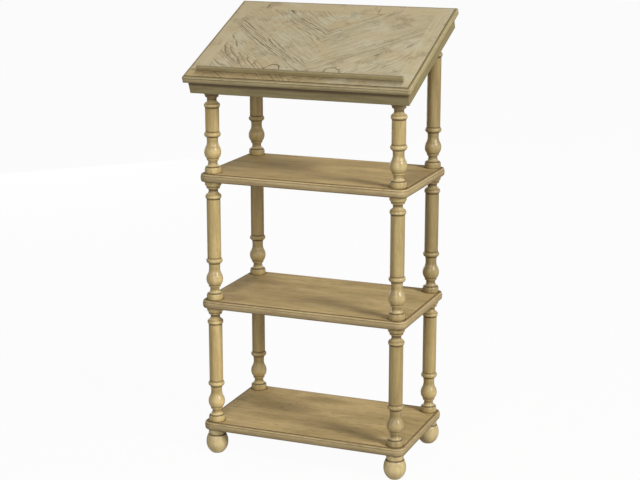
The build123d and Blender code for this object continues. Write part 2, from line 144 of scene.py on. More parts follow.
class Net:
    """A node tree with short calls for the nodes that the finishes are made of."""

    def __init__(self, tree: bpy.types.NodeTree) -> None:
        """Take over the tree of a material, a world or a group, and empty it."""
        self.tree = tree
        tree.nodes.clear()

    def feed(self, socket: bpy.types.NodeSocket, value: Feed) -> None:
        """Link a socket, or set its own value.

        Args:
            socket: the input to fill.
            value: a wire, a number, or a vector or colour.
        """
        if isinstance(value, Wire):
            self.tree.links.new(value.socket, socket)
        elif isinstance(value, (int, float)):
            socket.default_value = value
        else:
            socket.default_value = tuple(value)

    def node(self, kind: str, feeds: dict[Union[str, int], Feed], **settings: object
             ) -> bpy.types.Node:
        """Add a node.

        Args:
            kind: Blender's name of the node's type.
            feeds: what goes into its inputs, by name or number.
            settings: the node's own settings.

        Returns:
            The new node.
        """
        made = self.tree.nodes.new(kind)
        for name, setting in settings.items():
            setattr(made, name, setting)
        for name, value in feeds.items():
            self.feed(made.inputs[name], value)
        return made

    def add(self, kind: str, feeds: dict[Union[str, int], Feed], output: Union[str, int] = 0,
            **settings: object) -> Wire:
        """Add a node as above, for one of its outputs."""
        return Wire(self, self.node(kind, feeds, **settings).outputs[output])

    def math(self, operation: str, first: Feed, second: Feed = 0.0, clamp: bool = False) -> Wire:
        """Work out one number from one or two, kept from 0 to 1 if it is clamped."""
        return self.add("ShaderNodeMath", {0: first, 1: second}, operation=operation,
                        use_clamp=clamp)

    def vector(self, operation: str, first: Feed, second: Feed) -> Wire:
        """Work out one vector from two."""
        return self.add("ShaderNodeVectorMath", {0: first, 1: second}, operation=operation)

    def point(self) -> Wire:
        """Where the shaded point is, in metres from the stand's own origin."""
        return self.add("ShaderNodeTexCoord", {}, "Object")

    def split(self, vector: Feed) -> tuple[Wire, Wire, Wire]:
        """The three parts of a vector."""
        x, y, z = self.node("ShaderNodeSeparateXYZ", {0: vector}).outputs
        return Wire(self, x), Wire(self, y), Wire(self, z)

    def join(self, x: Feed, y: Feed, z: Feed) -> Wire:
        """A vector from its three parts."""
        return self.add("ShaderNodeCombineXYZ", {0: x, 1: y, 2: z})

    def mix(self, share: Feed, first: Feed, second: Feed, kind: Mixed = Mixed.COLOUR,
            blend: str = "MIX") -> Wire:
        """Mix two colours, vectors or numbers.

        Args:
            share: how much of the second is taken.
            first: the first of them.
            second: the second.
            kind: what they are.
            blend: Blender's name of the way that colours are mixed.

        Returns:
            The mixture.
        """
        data_type, slot, output = kind.value
        return self.add("ShaderNodeMix", {0: share, slot: first, slot + 1: second}, output,
                        data_type=data_type, blend_type=blend)

    def ramp(self, value: Feed, stops: Sequence[tuple[float, float]]) -> Wire:
        """A value that follows straight lines between stops.

        Args:
            value: where to read the ramp, 0 to 1.
            stops: places and the levels there, in order.

        Returns:
            The level, as a colour of grey.
        """
        made = self.node("ShaderNodeValToRGB", {0: value})
        elements = made.color_ramp.elements
        while len(elements) < len(stops):
            elements.new(1.0)
        for element, (place, level) in zip(elements, stops):
            element.position = place
            element.color = (level, level, level, 1.0)
        return Wire(self, made.outputs[0])


@dataclass(frozen=True)
class Pattern:
    """A soft random pattern, and the step that makes a mask of it."""

    scale: float
    detail: float = 2.0
    roughness: float = 0.5
    distortion: float = 0.0
    fade: Span = (0.0, 1.0)

    def plain(self, point: Wire) -> Wire:
        """The pattern as it is.

        Args:
            point: where to read it.

        Returns:
            A number of about 0 to 1.
        """
        return point.net.add("ShaderNodeTexNoise", {
            "Vector": point, "Scale": self.scale, "Detail": self.detail,
            "Roughness": self.roughness, "Distortion": self.distortion})

    def about_zero(self, point: Wire) -> Wire:
        """The pattern as a shift to either side."""
        return self.plain(point) - 0.5

    def mask(self, point: Wire) -> Wire:
        """The pattern as a mask."""
        return self.plain(point).step(*self.fade)


# ---------------------------------------------------------------- shared effects
class GroupSocket(Enum):
    """The kinds of socket that the groups have."""

    NUMBER = "NodeSocketFloat"
    VECTOR = "NodeSocketVector"
    COLOUR = "NodeSocketColor"


NUMBER, VECTOR, COLOUR = GroupSocket


class SharedEffect:
    """An effect that several finishes use, as one node group that is built once."""

    name = ""
    takes: dict[str, GroupSocket] = {}
    gives: dict[str, GroupSocket] = {}

    def build(self, net: Net, taken: dict[str, Wire]) -> dict[str, Feed]:
        """Draw the effect, from its inputs by name to what goes to each output."""
        raise NotImplementedError

    def group(self) -> bpy.types.NodeTree:
        """Find the effect's node group, or make it the first time.

        Returns:
            The group.
        """
        found = bpy.data.node_groups.get(self.name)
        if found:
            return found
        tree = bpy.data.node_groups.new(self.name, "ShaderNodeTree")
        for way, sockets in (("INPUT", self.takes), ("OUTPUT", self.gives)):
            for name, kind in sockets.items():
                tree.interface.new_socket(name, in_out=way, socket_type=kind.value)
        net = Net(tree)
        start = net.node("NodeGroupInput", {})
        taken = {name: Wire(net, start.outputs[name]) for name in self.takes}
        net.node("NodeGroupOutput", self.build(net, taken))
        return tree

    def place(self, net: Net, **feeds: Feed) -> dict[str, Wire]:
        """Put the group into a material, with its inputs and outputs by name."""
        made = net.node("ShaderNodeGroup", feeds, node_tree=self.group())
        return {name: Wire(net, made.outputs[name]) for name in self.gives}


class WoodGrain(SharedEffect):
    """Streaks, fibres and pores of wood whose grain runs along the vector's z."""

    name = "wood_grain"
    takes = {"vector": VECTOR, "across": NUMBER, "stretch": NUMBER, "warp": NUMBER}
    gives = {"streak": NUMBER, "fibre": NUMBER, "pores": NUMBER}
    wander = Pattern(0.45)
    streaks = Pattern(1.0, 4.0, 0.55, fade=(0.3, 0.7))
    fibres = Pattern(1.0, 3.0, 0.6)
    fibre_rate = 7.0
    pores = Pattern(1.0, 1.0, fade=(0.62, 0.74))
    pore_rate = 16.0
    pore_stretch = 0.45

    def build(self, net: Net, taken: dict[str, Wire]) -> dict[str, Feed]:
        """Draw the grain.

        Args:
            net: the group's own nodes.
            taken: the point, streaks per metre, their length in widths, and how far they wander.

        Returns:
            Streaks, fibres and pores.
        """
        x, y, z = net.split(taken["vector"])
        across = taken["across"]
        place = net.join(x * across, y * across, z * (across / taken["stretch"]))
        shift = self.wander.about_zero(place) * taken["warp"]
        bent = net.vector("ADD", place, net.join(shift, shift, 0.0))
        fine = bent.scaled(self.pore_rate, self.pore_rate, self.pore_rate * self.pore_stretch)
        return {"streak": self.streaks.mask(bent),
                "fibre": self.fibres.plain(bent.scaled(*(self.fibre_rate,) * 3)),
                "pores": self.pores.mask(fine)}


class GlazeAndShade(SharedEffect):
    """Dark glaze in grooves and corners, and painted shade, thicker in some places than in others.
    """

    name = "glaze_with_painted_shade"
    takes = {"colour": COLOUR, "glaze": COLOUR, "mask": NUMBER, "vector": VECTOR,
             "strength": NUMBER}
    gives = {"colour": COLOUR, "mask": NUMBER}
    wiped = Pattern(38.0, 3.0, 0.6, fade=(0.25, 0.6, 0.7, 1.0))

    def build(self, net: Net, taken: dict[str, Wire]) -> dict[str, Feed]:
        """Darken the colour where the mask is, less where the glaze was wiped thin.

        Args:
            net: the group's own nodes.
            taken: the colour, the glaze, where it lies, the point, and how strong it is.

        Returns:
            The new colour, and the mask as it came out.
        """
        mask = net.math("MULTIPLY", taken["mask"], self.wiped.mask(taken["vector"]), clamp=True)
        share = net.math("MULTIPLY", mask, taken["strength"], clamp=True)
        return {"colour": net.mix(share, taken["colour"], taken["glaze"]), "mask": share}


class RubbedAndHighlit(SharedEffect):
    """Proud rings and arrises made paler: stain rubbed thin, and painted highlight."""

    name = "rubbed_and_highlit"
    takes = {"colour": COLOUR, "pale": COLOUR, "mask": NUMBER, "vector": VECTOR,
             "strength": NUMBER}
    gives = {"colour": COLOUR}
    broken = Pattern(55.0, fade=(0.3, 0.6, 0.35, 1.0))

    def build(self, net: Net, taken: dict[str, Wire]) -> dict[str, Feed]:
        """Lighten the colour where the mask is, in broken patches.

        Args:
            net: the group's own nodes.
            taken: the colour, the pale colour, where it shows, the point, and how strong it is.

        Returns:
            The new colour.
        """
        share = net.math("MULTIPLY", taken["mask"] * self.broken.mask(taken["vector"]),
                         taken["strength"], clamp=True)
        return {"colour": net.mix(share, taken["colour"], taken["pale"])}


class SatinSheen(SharedEffect):
    """How the sheen of the varnish varies: duller in pores and glaze, with faint hand marks."""

    name = "satin_sheen"
    takes = {"vector": VECTOR, "roughness": NUMBER, "dull": NUMBER}
    gives = {"roughness": NUMBER}
    marks = Pattern(14.0, 3.0)
    mark_depth = 0.10
    dull_depth = 0.22

    def build(self, net: Net, taken: dict[str, Wire]) -> dict[str, Feed]:
        """Add soft marks and the dull places to the varnish's own roughness."""
        marked = self.marks.about_zero(taken["vector"]) * self.mark_depth + taken["roughness"]
        return {"roughness": net.math("ADD", taken["dull"] * self.dull_depth, marked, clamp=True)}


# ---------------------------------------------------------------- finishes
@dataclass(frozen=True)
class Slope:
    """The plane of the reading top: where it lies and how it tilts."""

    tilt: float = 0.0
    front: float = 0.0
    face: float = 0.0
    half_board: tuple[float, float] = (0.0, 0.0)
    centre_up: float = 0.0

    @classmethod
    def of_board(cls) -> "Slope":
        """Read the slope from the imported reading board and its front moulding.

        Returns:
            The slope, with the place of the front edge up the slope, the height of the board's
            face, half the board's width and length, and where its middle is up the slope.
        """
        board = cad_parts["reading_board"].data
        widest = max(board.polygons, key=lambda polygon: polygon.area * (polygon.normal.z > 0.5))
        tilt = math.atan2(-widest.normal.y, widest.normal.z)
        up_slope = Vector((0.0, math.cos(tilt), math.sin(tilt)))
        normal = Vector((0.0, -math.sin(tilt), math.cos(tilt)))
        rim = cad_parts["board_moulding_front"].data
        front = min(vertex.co.dot(up_slope) for vertex in rim.vertices)
        face = max(vertex.co.dot(normal) for vertex in board.vertices)
        ups = [vertex.co.dot(up_slope) - front for vertex in board.vertices]
        half_width = max(vertex.co.x for vertex in board.vertices)
        half_board = (half_width, (max(ups) - min(ups)) / 2)
        return cls(tilt, front, face, half_board, (max(ups) + min(ups)) / 2)

    def place(self, net: Net) -> tuple[Wire, Wire, Wire]:
        """Where a point is on the top.

        Args:
            net: the material's nodes.

        Returns:
            Metres to the right of the middle, up the slope from the front edge, and below the face.
        """
        x, y, z = net.split(net.point())
        cos, sin = math.cos(self.tilt), math.sin(self.tilt)
        return x, y * cos + (z * sin - self.front), y * sin - (z * cos - self.face)

    def beyond_board(self, x: Wire, up: Wire) -> Wire:
        """How far a point is beyond the edge of the board's face, less than 0 on the board."""
        past_side = abs(x) - self.half_board[0]
        return past_side.most(abs(up - self.centre_up) - self.half_board[1])


@dataclass(frozen=True)
class Tone:
    """The colours of one stained wood."""

    light: Colour
    dark: Colour
    glaze: Colour = srgb(74, 56, 34)
    pale: Colour = srgb(214, 190, 138)

    def taken(self, share: float) -> "Tone":
        """The same stain, lighter or darker: partly how the wood takes it, partly painted light and
        shade.

        Args:
            share: how light it comes out, 1 for the stain's own colours.

        Returns:
            The new colours. The glaze over them stays.
        """
        light, dark, pale = ((red * share, green * share, blue * share, 1.0)
                             for red, green, blue, _ in (self.light, self.dark, self.pale))
        return Tone(light, dark, self.glaze, pale)


@dataclass(frozen=True)
class Varnish:
    """The satin coat over a wood, and how deep its texture is."""

    roughness: float = 0.45
    specular: float = 0.40
    coat: float = 0.12
    coat_roughness: float = 0.30
    relief: float = 0.10 * MM


class GrainRun(Enum):
    """Which way the grain runs in a piece."""

    UPRIGHT = "xyz"
    SIDEWAYS = "yzx"
    DEEP = "zxy"

    def turn(self, *parts: Wire) -> Wire:
        """A point given as x, y and z, with its parts put so that its z follows the grain."""
        return parts[0].net.join(*(parts["xyz".index(letter)] for letter in self.value))


@dataclass(frozen=True)
class Surface:
    """A surface before its varnish: its colour, its height from 0 to 1, its dull places."""

    colour: Wire
    relief: Wire
    dull: Wire


class Finish:
    """What a piece is made of. Each kind draws its own material."""

    name: str

    def draw(self, net: Net) -> None:
        """Draw the material's nodes."""
        raise NotImplementedError

    def material(self) -> bpy.types.Material:
        """Find the material, or make it the first time.

        Returns:
            The material.
        """
        found = bpy.data.materials.get(self.name)
        if found:
            return found
        made = bpy.data.materials.new(self.name)
        made.use_nodes = True
        self.draw(Net(made.node_tree))
        return made


@dataclass(frozen=True)
class Wood(Finish):
    """A stained, varnished wood. Its kinds say where glaze and painted shade lie, how the grain
    runs.
    """

    name: str
    tone: Tone
    varnish: Varnish = Varnish()
    across: float = 70.0
    stretch: float = 14.0
    warp: float = 1.5
    fibre_depth: float = 0.35
    fibre_span: Span = (0.25, 0.75)
    pore_depth: float = 0.35
    pore_sink: float = 0.5
    # strengths of the paler places (rubbed, painted highlight) and of the glaze with painted shade
    rub_and_highlight_strength: float = 0.8
    glazing_and_shade: float = 0.85

    def stained(self, net: Net, vector: Wire) -> Surface:
        """The bare stained wood.

        Args:
            net: the material's nodes.
            vector: the point, with its z along the grain.

        Returns:
            The surface, dull in its pores.
        """
        grain = WoodGrain().place(net, vector=vector, across=self.across, stretch=self.stretch,
                                  warp=self.warp)
        pores = grain["pores"]
        streaked = net.mix(grain["streak"], self.tone.light, self.tone.dark)
        fibres = grain["fibre"].step(*self.fibre_span, 1.0 - self.fibre_depth, 1.0)
        fibred = net.mix(1.0, streaked, fibres, blend="MULTIPLY")
        return Surface(net.mix(pores * self.pore_depth, fibred, self.tone.glaze),
                       grain["fibre"] - pores * self.pore_sink, pores)

    def varnished(self, net: Net, wood: Surface, vector: Wire) -> None:
        """Close the material with its varnish.

        Args:
            net: the material's nodes.
            wood: the surface under the varnish.
            vector: the point, for the marks in the varnish.
        """
        sheen = SatinSheen().place(net, vector=vector, roughness=self.varnish.roughness,
                                   dull=wood.dull)
        bump = net.add("ShaderNodeBump", {"Height": wood.relief, "Strength": 1.0,
                                          "Distance": self.varnish.relief})
        shader = net.add("ShaderNodeBsdfPrincipled", {
            "Base Color": wood.colour, "Roughness": sheen["roughness"], "Normal": bump,
            "Specular IOR Level": self.varnish.specular, "Coat Weight": self.varnish.coat,
            "Coat Roughness": self.varnish.coat_roughness})
        net.node("ShaderNodeOutputMaterial", {"Surface": shader})

    def worn(self, net: Net, wood: Surface, vector: Wire, dark: Feed,
             pale: Union[Wire, None] = None) -> None:
        """Rub its high places paler with painted highlight, glaze and shade its low ones, varnish
        it.

        Args:
            net: the material's nodes.
            wood: the stained surface.
            vector: the point, for the patches of the glaze and the marks in the varnish.
            dark: where glaze stays, and where shade is painted.
            pale: where the stain is rubbed paler and a highlight is painted, if it is.
        """
        colour = wood.colour
        if pale is not None:
            colour = RubbedAndHighlit().place(net, colour=colour, pale=self.tone.pale, mask=pale,
                                        vector=vector, strength=self.rub_and_highlight_strength)["colour"]
        glazed = GlazeAndShade().place(net, colour=colour, glaze=self.tone.glaze, mask=dark,
                                      vector=vector, strength=self.glazing_and_shade)
        self.varnished(net, Surface(glazed["colour"], wood.relief,
                                    wood.dull.most(glazed["mask"])), vector)


@dataclass(frozen=True)
class Ring:
    """A ring on a turning, or a line on the top, where glaze gathers or the stain is rubbed."""

    height: float
    half_width: float
    strength: float


def rings(*rows: tuple[float, float, float]) -> tuple[Ring, ...]:
    """Rings from rows of height and half width, both in millimetres, and strength."""
    return tuple(Ring(height * MM, half * MM, strength) for height, half, strength in rows)


def raised(low_rings: Sequence[Ring], by: float) -> tuple[Ring, ...]:
    """The same rings, higher by some metres."""
    return tuple(replace(ring, height=ring.height + by) for ring in low_rings)


@dataclass(frozen=True)
class TurnedWood(Wood):
    """Wood turned on the lathe, upright: glaze in rings and quirks, painted shade and highlight."""

    rub_and_highlight_strength: float = 0.55
    glazing_and_shade: float = 0.9
    seat: float = 0.0
    dark_rings: tuple[Ring, ...] = ()
    # broad rings of painted shade
    painted_shade_rings: tuple[Ring, ...] = ()
    pale_rings: tuple[Ring, ...] = ()
    reach: float = 0.4
    glaze_gain: float = 1.5
    rings_per_ramp: int = 8

    def ringed(self, net: Net, height: Wire, *sets: Sequence[Ring]) -> Wire:
        """A mask that is bright on rings.

        Args:
            net: the material's nodes.
            height: metres above the seat.
            sets: sets of rings, from low to high in each. Rings of two sets may overlap.

        Returns:
            The mask.
        """
        place = height / self.reach
        ramps = []
        for given in sets:
            for start in range(0, len(given), self.rings_per_ramp):
                stops: list[tuple[float, float]] = []
                for ring in given[start:start + self.rings_per_ramp]:
                    low = (ring.height - ring.half_width) / self.reach
                    high = (ring.height + ring.half_width) / self.reach
                    if stops:
                        low = max(low, stops[-1][0])
                    stops += [(low, 0.0), (ring.height / self.reach, ring.strength), (high, 0.0)]
                ramps.append(net.ramp(place, stops))
        return ramps[0].most(0.0, *ramps[1:])

    def draw(self, net: Net) -> None:
        """Stain, high rings rubbed paler with painted highlight, glaze and painted shade in the low
        ones, varnish.

        Args:
            net: the material's nodes.
        """
        point = net.point()
        height = net.split(point)[2] - self.seat
        # glaze in the rings, and broad rings of painted shade
        dark = self.ringed(net, height, self.dark_rings, self.painted_shade_rings)
        self.worn(net, self.stained(net, point), point,
                  net.math("MULTIPLY", dark, self.glaze_gain, clamp=True),
                  self.ringed(net, height, self.pale_rings))


@dataclass(frozen=True)
class RimLines:
    """Where the lines of the moulded rim lie below the flat top that it goes round, in metres."""

    # the bead and the nose are made paler: rubbed, and painted highlight
    bead: float = 3.0 * MM
    bead_half: float = 1.6 * MM
    quirk: float = 5.1 * MM
    quirk_half: float = 1.5 * MM
    quirk_depth: float = 0.55
    nose: float = 9.5 * MM
    nose_half: float = 4.0 * MM
    nose_highlight: float = 0.35
    # the foot is darkened: glaze at the lower arris, and painted shade where it faces down
    foot: float = 3.5 * MM
    foot_glaze_and_shade: float = 0.85
    arris_half: float = 1.3 * MM
    arris_depth: float = 0.85

    def masks(self, below: Wire, thickness: float) -> tuple[Wire, Wire]:
        """Where the rim is darkened by glaze and painted shade, and made paler by rubbing and
        painted highlight.

        Args:
            below: metres below the flat top.
            thickness: thickness of the board that has the rim.

        Returns:
            The dark mask and the pale mask.
        """
        quirk = below.hump(self.quirk, self.quirk_half) * self.quirk_depth
        foot = below.step(thickness - self.foot, thickness, 0.0, self.foot_glaze_and_shade)
        nose = below.hump(self.nose, self.nose_half) * self.nose_highlight
        return quirk.most(foot), below.hump(self.bead, self.bead_half).most(nose)

    def arris(self, beyond: Wire) -> Wire:
        """The dark line along the arris, from how far a point is beyond it."""
        return beyond.hump(0.0, self.arris_half) * self.arris_depth


@dataclass(frozen=True)
class Patch:
    """A broad darker place on a shelf."""

    x: float
    y: float
    half_x: float
    half_y: float
    depth: float


@dataclass(frozen=True)
class ShelfWood(Wood):
    """A shelf: streaked along its length, with its rim picked out and glaze round the posts."""

    top: float = 0.0
    thickness: float = 21.0 * MM
    rim: RimLines = RimLines(quirk_depth=0.15, foot=6.0 * MM)
    edge: Wood = Wood("shelf_edge", Tone(srgb(173, 154, 118), srgb(151, 133, 99)), across=120.0,
                      stretch=20.0, fibre_depth=0.22)
    edge_from: Span = (0.1 * MM, 0.3 * MM)
    post: tuple[float, float] = (0.25, 0.137)
    reach: tuple[float, float] = (0.28, 0.167)
    centre_y: float = 0.0
    rim_width: float = 8.0 * MM
    flat_corner: float = 16.0 * MM
    foot_radius: float = 21.5 * MM
    glaze_reach: float = 5.0 * MM
    patches: Pattern = Pattern(13.0, 3.0, 0.6, 0.8, (0.42, 0.66))
    patch_stretch: float = 0.42
    patch_depth: float = 0.20
    flecks: Pattern = Pattern(170.0, 3.0, 0.65, fade=(0.58, 0.72))
    fleck_stretch: float = 0.22
    fleck_depth: float = 0.46
    dark_places: tuple[Patch, ...] = ()
    ragged: Pattern = Pattern(22.0, 3.0, 0.6)
    raggedness: float = 1.6
    place_span: Span = (0.3, 1.3)

    def beyond_arris(self, aside: Wire, back: Wire) -> Wire:
        """How far a point of the flat top is beyond its rounded arris.

        Args:
            aside: metres from the middle along the shelf.
            back: metres from the middle across it.

        Returns:
            Metres, less than 0 inside the arris.
        """
        past_x, past_y = (away - (half - self.rim_width - self.flat_corner)
                          for away, half in zip((aside, back), self.reach))
        corner = past_x.most(0.0).far(past_y.most(0.0))
        straight = aside.net.math("MINIMUM", past_x.most(past_y), 0.0)
        return corner + straight - self.flat_corner

    def panel(self, net: Net, lengthwise: Wire, x: Wire, y: Wire) -> Surface:
        """The flat top: stained wood with broad darker patches along the grain.

        Args:
            net: the material's nodes.
            lengthwise: the point, with its z along the shelf.
            x: metres to the right of the stand's middle.
            y: metres behind it.

        Returns:
            The surface.
        """
        wood = self.stained(net, lengthwise)
        drawn_out = lengthwise.scaled(1.0, 1.0, self.fleck_stretch)
        ragged = self.ragged.about_zero(drawn_out) * self.raggedness
        patches = self.patches.mask(lengthwise.scaled(1.0, 1.0, self.patch_stretch))
        stained = patches * self.patch_depth
        for patch in self.dark_places:
            away = ((x - patch.x) / patch.half_x).far((y - patch.y) / patch.half_y)
            stained = stained.most((ragged + away).step(*self.place_span, patch.depth, 0.0))
        dark = net.math("ADD", stained, self.flecks.mask(drawn_out) * self.fleck_depth, clamp=True)
        return replace(wood, colour=net.mix(dark, wood.colour, self.tone.glaze))

    def draw(self, net: Net) -> None:
        """Panel above, rim round it with glaze, painted shade and highlight in its lines, glaze
        round each post.

        Args:
            net: the material's nodes.
        """
        point = net.point()
        x, y, z = net.split(point)
        below = self.top - z
        lengthwise = GrainRun.SIDEWAYS.turn(x, y, z)
        wood = self.panel(net, lengthwise, x, y)

        aside, back = abs(x), abs(y - self.centre_y)
        on_side = (aside - self.reach[0]) > (back - self.reach[1])
        along = net.mix(on_side, lengthwise, GrainRun.DEEP.turn(x, y, z), Mixed.VECTOR)
        on_rim = below.step(*self.edge_from)
        colour = net.mix(on_rim, wood.colour, self.edge.stained(net, along).colour)

        dark, pale = self.rim.masks(below, self.thickness)
        to_axis = (aside - self.post[0]).far(back - self.post[1])
        round_post = to_axis.step(self.foot_radius, self.foot_radius + self.glaze_reach, 1.0, 0.0)
        arris = self.rim.arris(self.beyond_arris(aside, back))
        self.worn(net, replace(wood, colour=colour), point,
                  (on_rim * dark).most(round_post, arris), on_rim * pale)


@dataclass(frozen=True)
class TopWood(Wood):
    """Solid wood of the reading top: mouldings, rails and ledge, glaze and painted shade in
    corners.
    """

    slope: Slope = Slope()
    run: GrainRun = GrainRun.SIDEWAYS
    rim: RimLines = RimLines()
    has_rim: bool = True
    thickness: float = 18.0 * MM
    # bands below the face: glaze in corners, and on the rails painted shade under the moulding
    corners: tuple[Ring, ...] = ()

    def draw(self, net: Net) -> None:
        """Stain along the piece, glaze and painted shade in the rim's lines or in the corners,
        varnish.

        Args:
            net: the material's nodes.
        """
        x, up, below = self.slope.place(net)
        vector = self.run.turn(x, up, below)
        pale = None
        # glaze bands, and on the rails painted shade under the moulding
        masks = [below.hump(corner.height, corner.half_width) * corner.strength
                 for corner in self.corners]
        if self.has_rim:
            dark, pale = self.rim.masks(below, self.thickness)
            masks += [dark, self.rim.arris(self.slope.beyond_board(x, up))]
        self.worn(net, self.stained(net, vector), vector, masks[0].most(*masks[1:]), pale)


@dataclass(frozen=True)
class Knot:
    """A small dark knot in the veneer, at the same place in both mirrored halves.

    Its place and halves are in millimetres, its lean in degrees. Left and right say how dark it
    is in each half.
    """

    aside: float
    up: float
    half_width: float
    half_length: float
    left: float
    right: float
    lean: float = 90.0


@dataclass(frozen=True)
class LeafPlace:
    """Where a point of the reading board is among its leaves. Lengths are in metres.

    x is to the right of the middle, aside to either side, up the slope from the front edge, below
    the face. w is across the leaves and away from the reader, g along them and towards the reader.
    leaf counts the leaves from the first seam, number is the whole part of it, lowest is 1 in the
    lowest leaf and own differs from leaf to leaf. out is how far beyond the border's line.
    """

    x: Wire
    aside: Wire
    up: Wire
    below: Wire
    on_right: Wire
    w: Wire
    g: Wire
    leaf: Wire
    number: Wire
    lowest: Wire
    own: Wire
    off_side: Wire
    off_rear: Wire
    out: Wire
    border: Wire
    inside: Wire


@dataclass(frozen=True)
class Veneer(Wood):
    """The reading board's veneer: leaves laid in a V about the middle, inside a plain border."""

    slope: Slope = Slope()
    # the leaves and the border
    lie: float = math.radians(41.0)
    leaf: float = 159.0 * MM
    first_seam: float = 38.0 * MM
    border_x: float = 252.0 * MM
    border_rear: float = 366.0 * MM
    border_edge: Span = (-0.3 * MM, 0.3 * MM)
    right_half: Span = (-1.0 * MM, 1.0 * MM)
    own_leaf: float = 0.31
    own_half: float = 0.17
    # the ground colours
    brown: Colour = srgb(196, 176, 138)
    browning: Pattern = Pattern(9.0, 3.0, fade=(0.42, 0.68, 0.0, 0.6))
    brown_rear_leaf: Span = (0.4, 0.9, 0.0, 0.5)
    brown_rear: Span = (-2.0 * MM, 2.0 * MM, 0.0, 0.6)
    brown_left: Span = (-60.0 * MM, -300.0 * MM, 0.0, 0.35)
    border_plain: Colour = srgb(201, 187, 152)
    border_share: float = 0.4
    grey: Colour = srgb(207, 202, 176)
    clouds: Pattern = Pattern(11.0, 3.0, 0.55, fade=(0.5, 0.7, 0.0, 0.55))
    strip_brown: Colour = srgb(188, 166, 120)
    strip_up: Span = (30.0 * MM, 44.0 * MM, 0.9, 0.0)
    strip_across: Span = (0.0, 120.0 * MM, 1.0, 0.2)
    # the growth rings
    ring_pitch: float = 8.6 * MM
    fine_pitch: float = 7.6 * MM
    heart: float = 2.0 * MM
    crown: Span = (-4.0 * MM, 26.0 * MM, 0.21, 0.05)
    drift: Pattern = Pattern(1.0, 1.0)
    drift_rates: tuple[float, float, float] = (20.0, 6.0, 3.7)
    drift_reach: float = 30.0 * MM
    wave: Pattern = Pattern(4.3)
    wave_reach: float = 6.0 * MM
    crowding: Pattern = Pattern(1.0, 1.0)
    crowding_rates: tuple[float, float, float] = (48.0, 3.0, 5.1)
    crowding_reach: float = 18.0 * MM
    line: tuple[float, float] = (0.5, 0.26)
    pale_line: tuple[float, float] = (0.88, 0.24)
    pale_line_depth: float = 0.4
    # how bold they are: millimetres across the leaves and the level there
    boldness: tuple[tuple[float, float], ...] = (
        (-90, 0.4), (-48, 0.6), (-20, 0.55), (0, 0.45), (20, 0.4), (30, 0.5), (37, 0.85),
        (62, 0.9), (74, 0.5), (88, 0.12), (140, 0.12), (154, 0.6), (188, 0.95), (197, 1.0),
        (200, 0.2), (225, 0.45), (250, 0.5), (262, 0.3))
    figure_reach: float = 370.0
    half_depth: Span = (-40.0 * MM, 60.0 * MM, 1.0, 0.55)
    breaks: Pattern = Pattern(1.0, 2.0, 0.6, fade=(0.38, 0.58, 0.08, 1.0))
    break_rate: float = 95.0
    lowest_break_rate: float = 25.0
    break_length: float = 9.0
    scratches: Pattern = Pattern(1.0, 2.0, 0.6, fade=(0.55, 0.72))
    scratch_rates: tuple[float, float, float] = (430.0, 30.0, 1.0)
    scratch_depth: Span = (-100.0 * MM, 200.0 * MM, 0.42, 0.36)
    # knots and blotches
    knots: tuple[Knot, ...] = (
        Knot(244, 211, 3.6, 19, 0.7, 0.3, 60), Knot(221, 176, 4.0, 23, 0.68, 0.2, 62),
        Knot(236, 206, 5, 22, 0.1, 0.5, 62), Knot(166, 154, 6, 12, 0.35, 0.75, 35),
        Knot(136, 88, 3.2, 20, 0.7, 0.25, 96), Knot(215, 384, 4, 17, 0.75, 0.1),
        Knot(98, 382, 3, 22, 0.05, 0.5), Knot(105, 360, 10, 3, 0.1, 0.6))
    eye: Knot = Knot(79, 60, 20, 23, 0.85, 0.6)
    knot_edge: Pattern = Pattern(60.0)
    knot_raggedness: float = 0.9
    knot_span: Span = (0.3, 1.1, 1.0, 0.0)
    eye_line: tuple[float, float] = (1.0, 0.2)
    roughened: Pattern = Pattern(90.0, fade=(0.35, 0.6, 0.6, 1.0))
    blotches: Pattern = Pattern(21.0, 3.0, 0.6, fade=(0.50, 0.66))
    blotch_depth: float = 0.42
    speckle: Pattern = Pattern(230.0, 2.0, 0.7, fade=(0.40, 0.64, 0.25, 1.0))
    # seams: half widths in leaves or metres, and depths
    seam_half: float = 0.011
    seam_depth: float = 0.35
    seam_breaks: float = 0.6
    middle_half: float = 0.8 * MM
    middle_depth: float = 0.25
    joint_half: float = 1.0 * MM
    joint_depth: float = 0.15
    face_depth: float = 1.0 * MM
    cut_depth: float = 1.6
    # painted shade and glaze in front of the ledge, glaze in its corners and on the board's sides
    ledge_front: float = 35.0 * MM
    ledge_rear: float = 43.0 * MM
    ledge_shade: Span = (0.0, 27.0 * MM, 0.8, 0.15)
    front_line_half: float = 3.0 * MM
    rear_line_half: float = 2.0 * MM
    ledge_end: Span = (271.5 * MM, 277.5 * MM, 1.0, 0.0)
    side_top: Span = (0.05 * MM, 0.3 * MM)
    side_foot: Span = (1.0 * MM, 2.0 * MM, 1.0, 0.0)
    rim: RimLines = RimLines()

    def where(self, net: Net) -> LeafPlace:
        """Find a point's place among the leaves.

        Args:
            net: the material's nodes.

        Returns:
            The place.
        """
        x, up, below = self.slope.place(net)
        aside = abs(x)
        on_right = x.step(*self.right_half)
        sin, cos = math.sin(self.lie), math.cos(self.lie)
        w = aside * -sin + up * cos
        g = aside * -cos + up * -sin
        leaf = (w - self.first_seam) / self.leaf
        number = net.math("FLOOR", leaf)
        off_side, off_rear = aside - self.border_x, up - self.border_rear
        out = off_side.most(off_rear)
        border = out.step(*self.border_edge)
        own = number * self.own_leaf + on_right * self.own_half
        return LeafPlace(x, aside, up, below, on_right, w, g, leaf, number, number < -0.5, own,
                         off_side, off_rear, out, border, 1.0 - border)

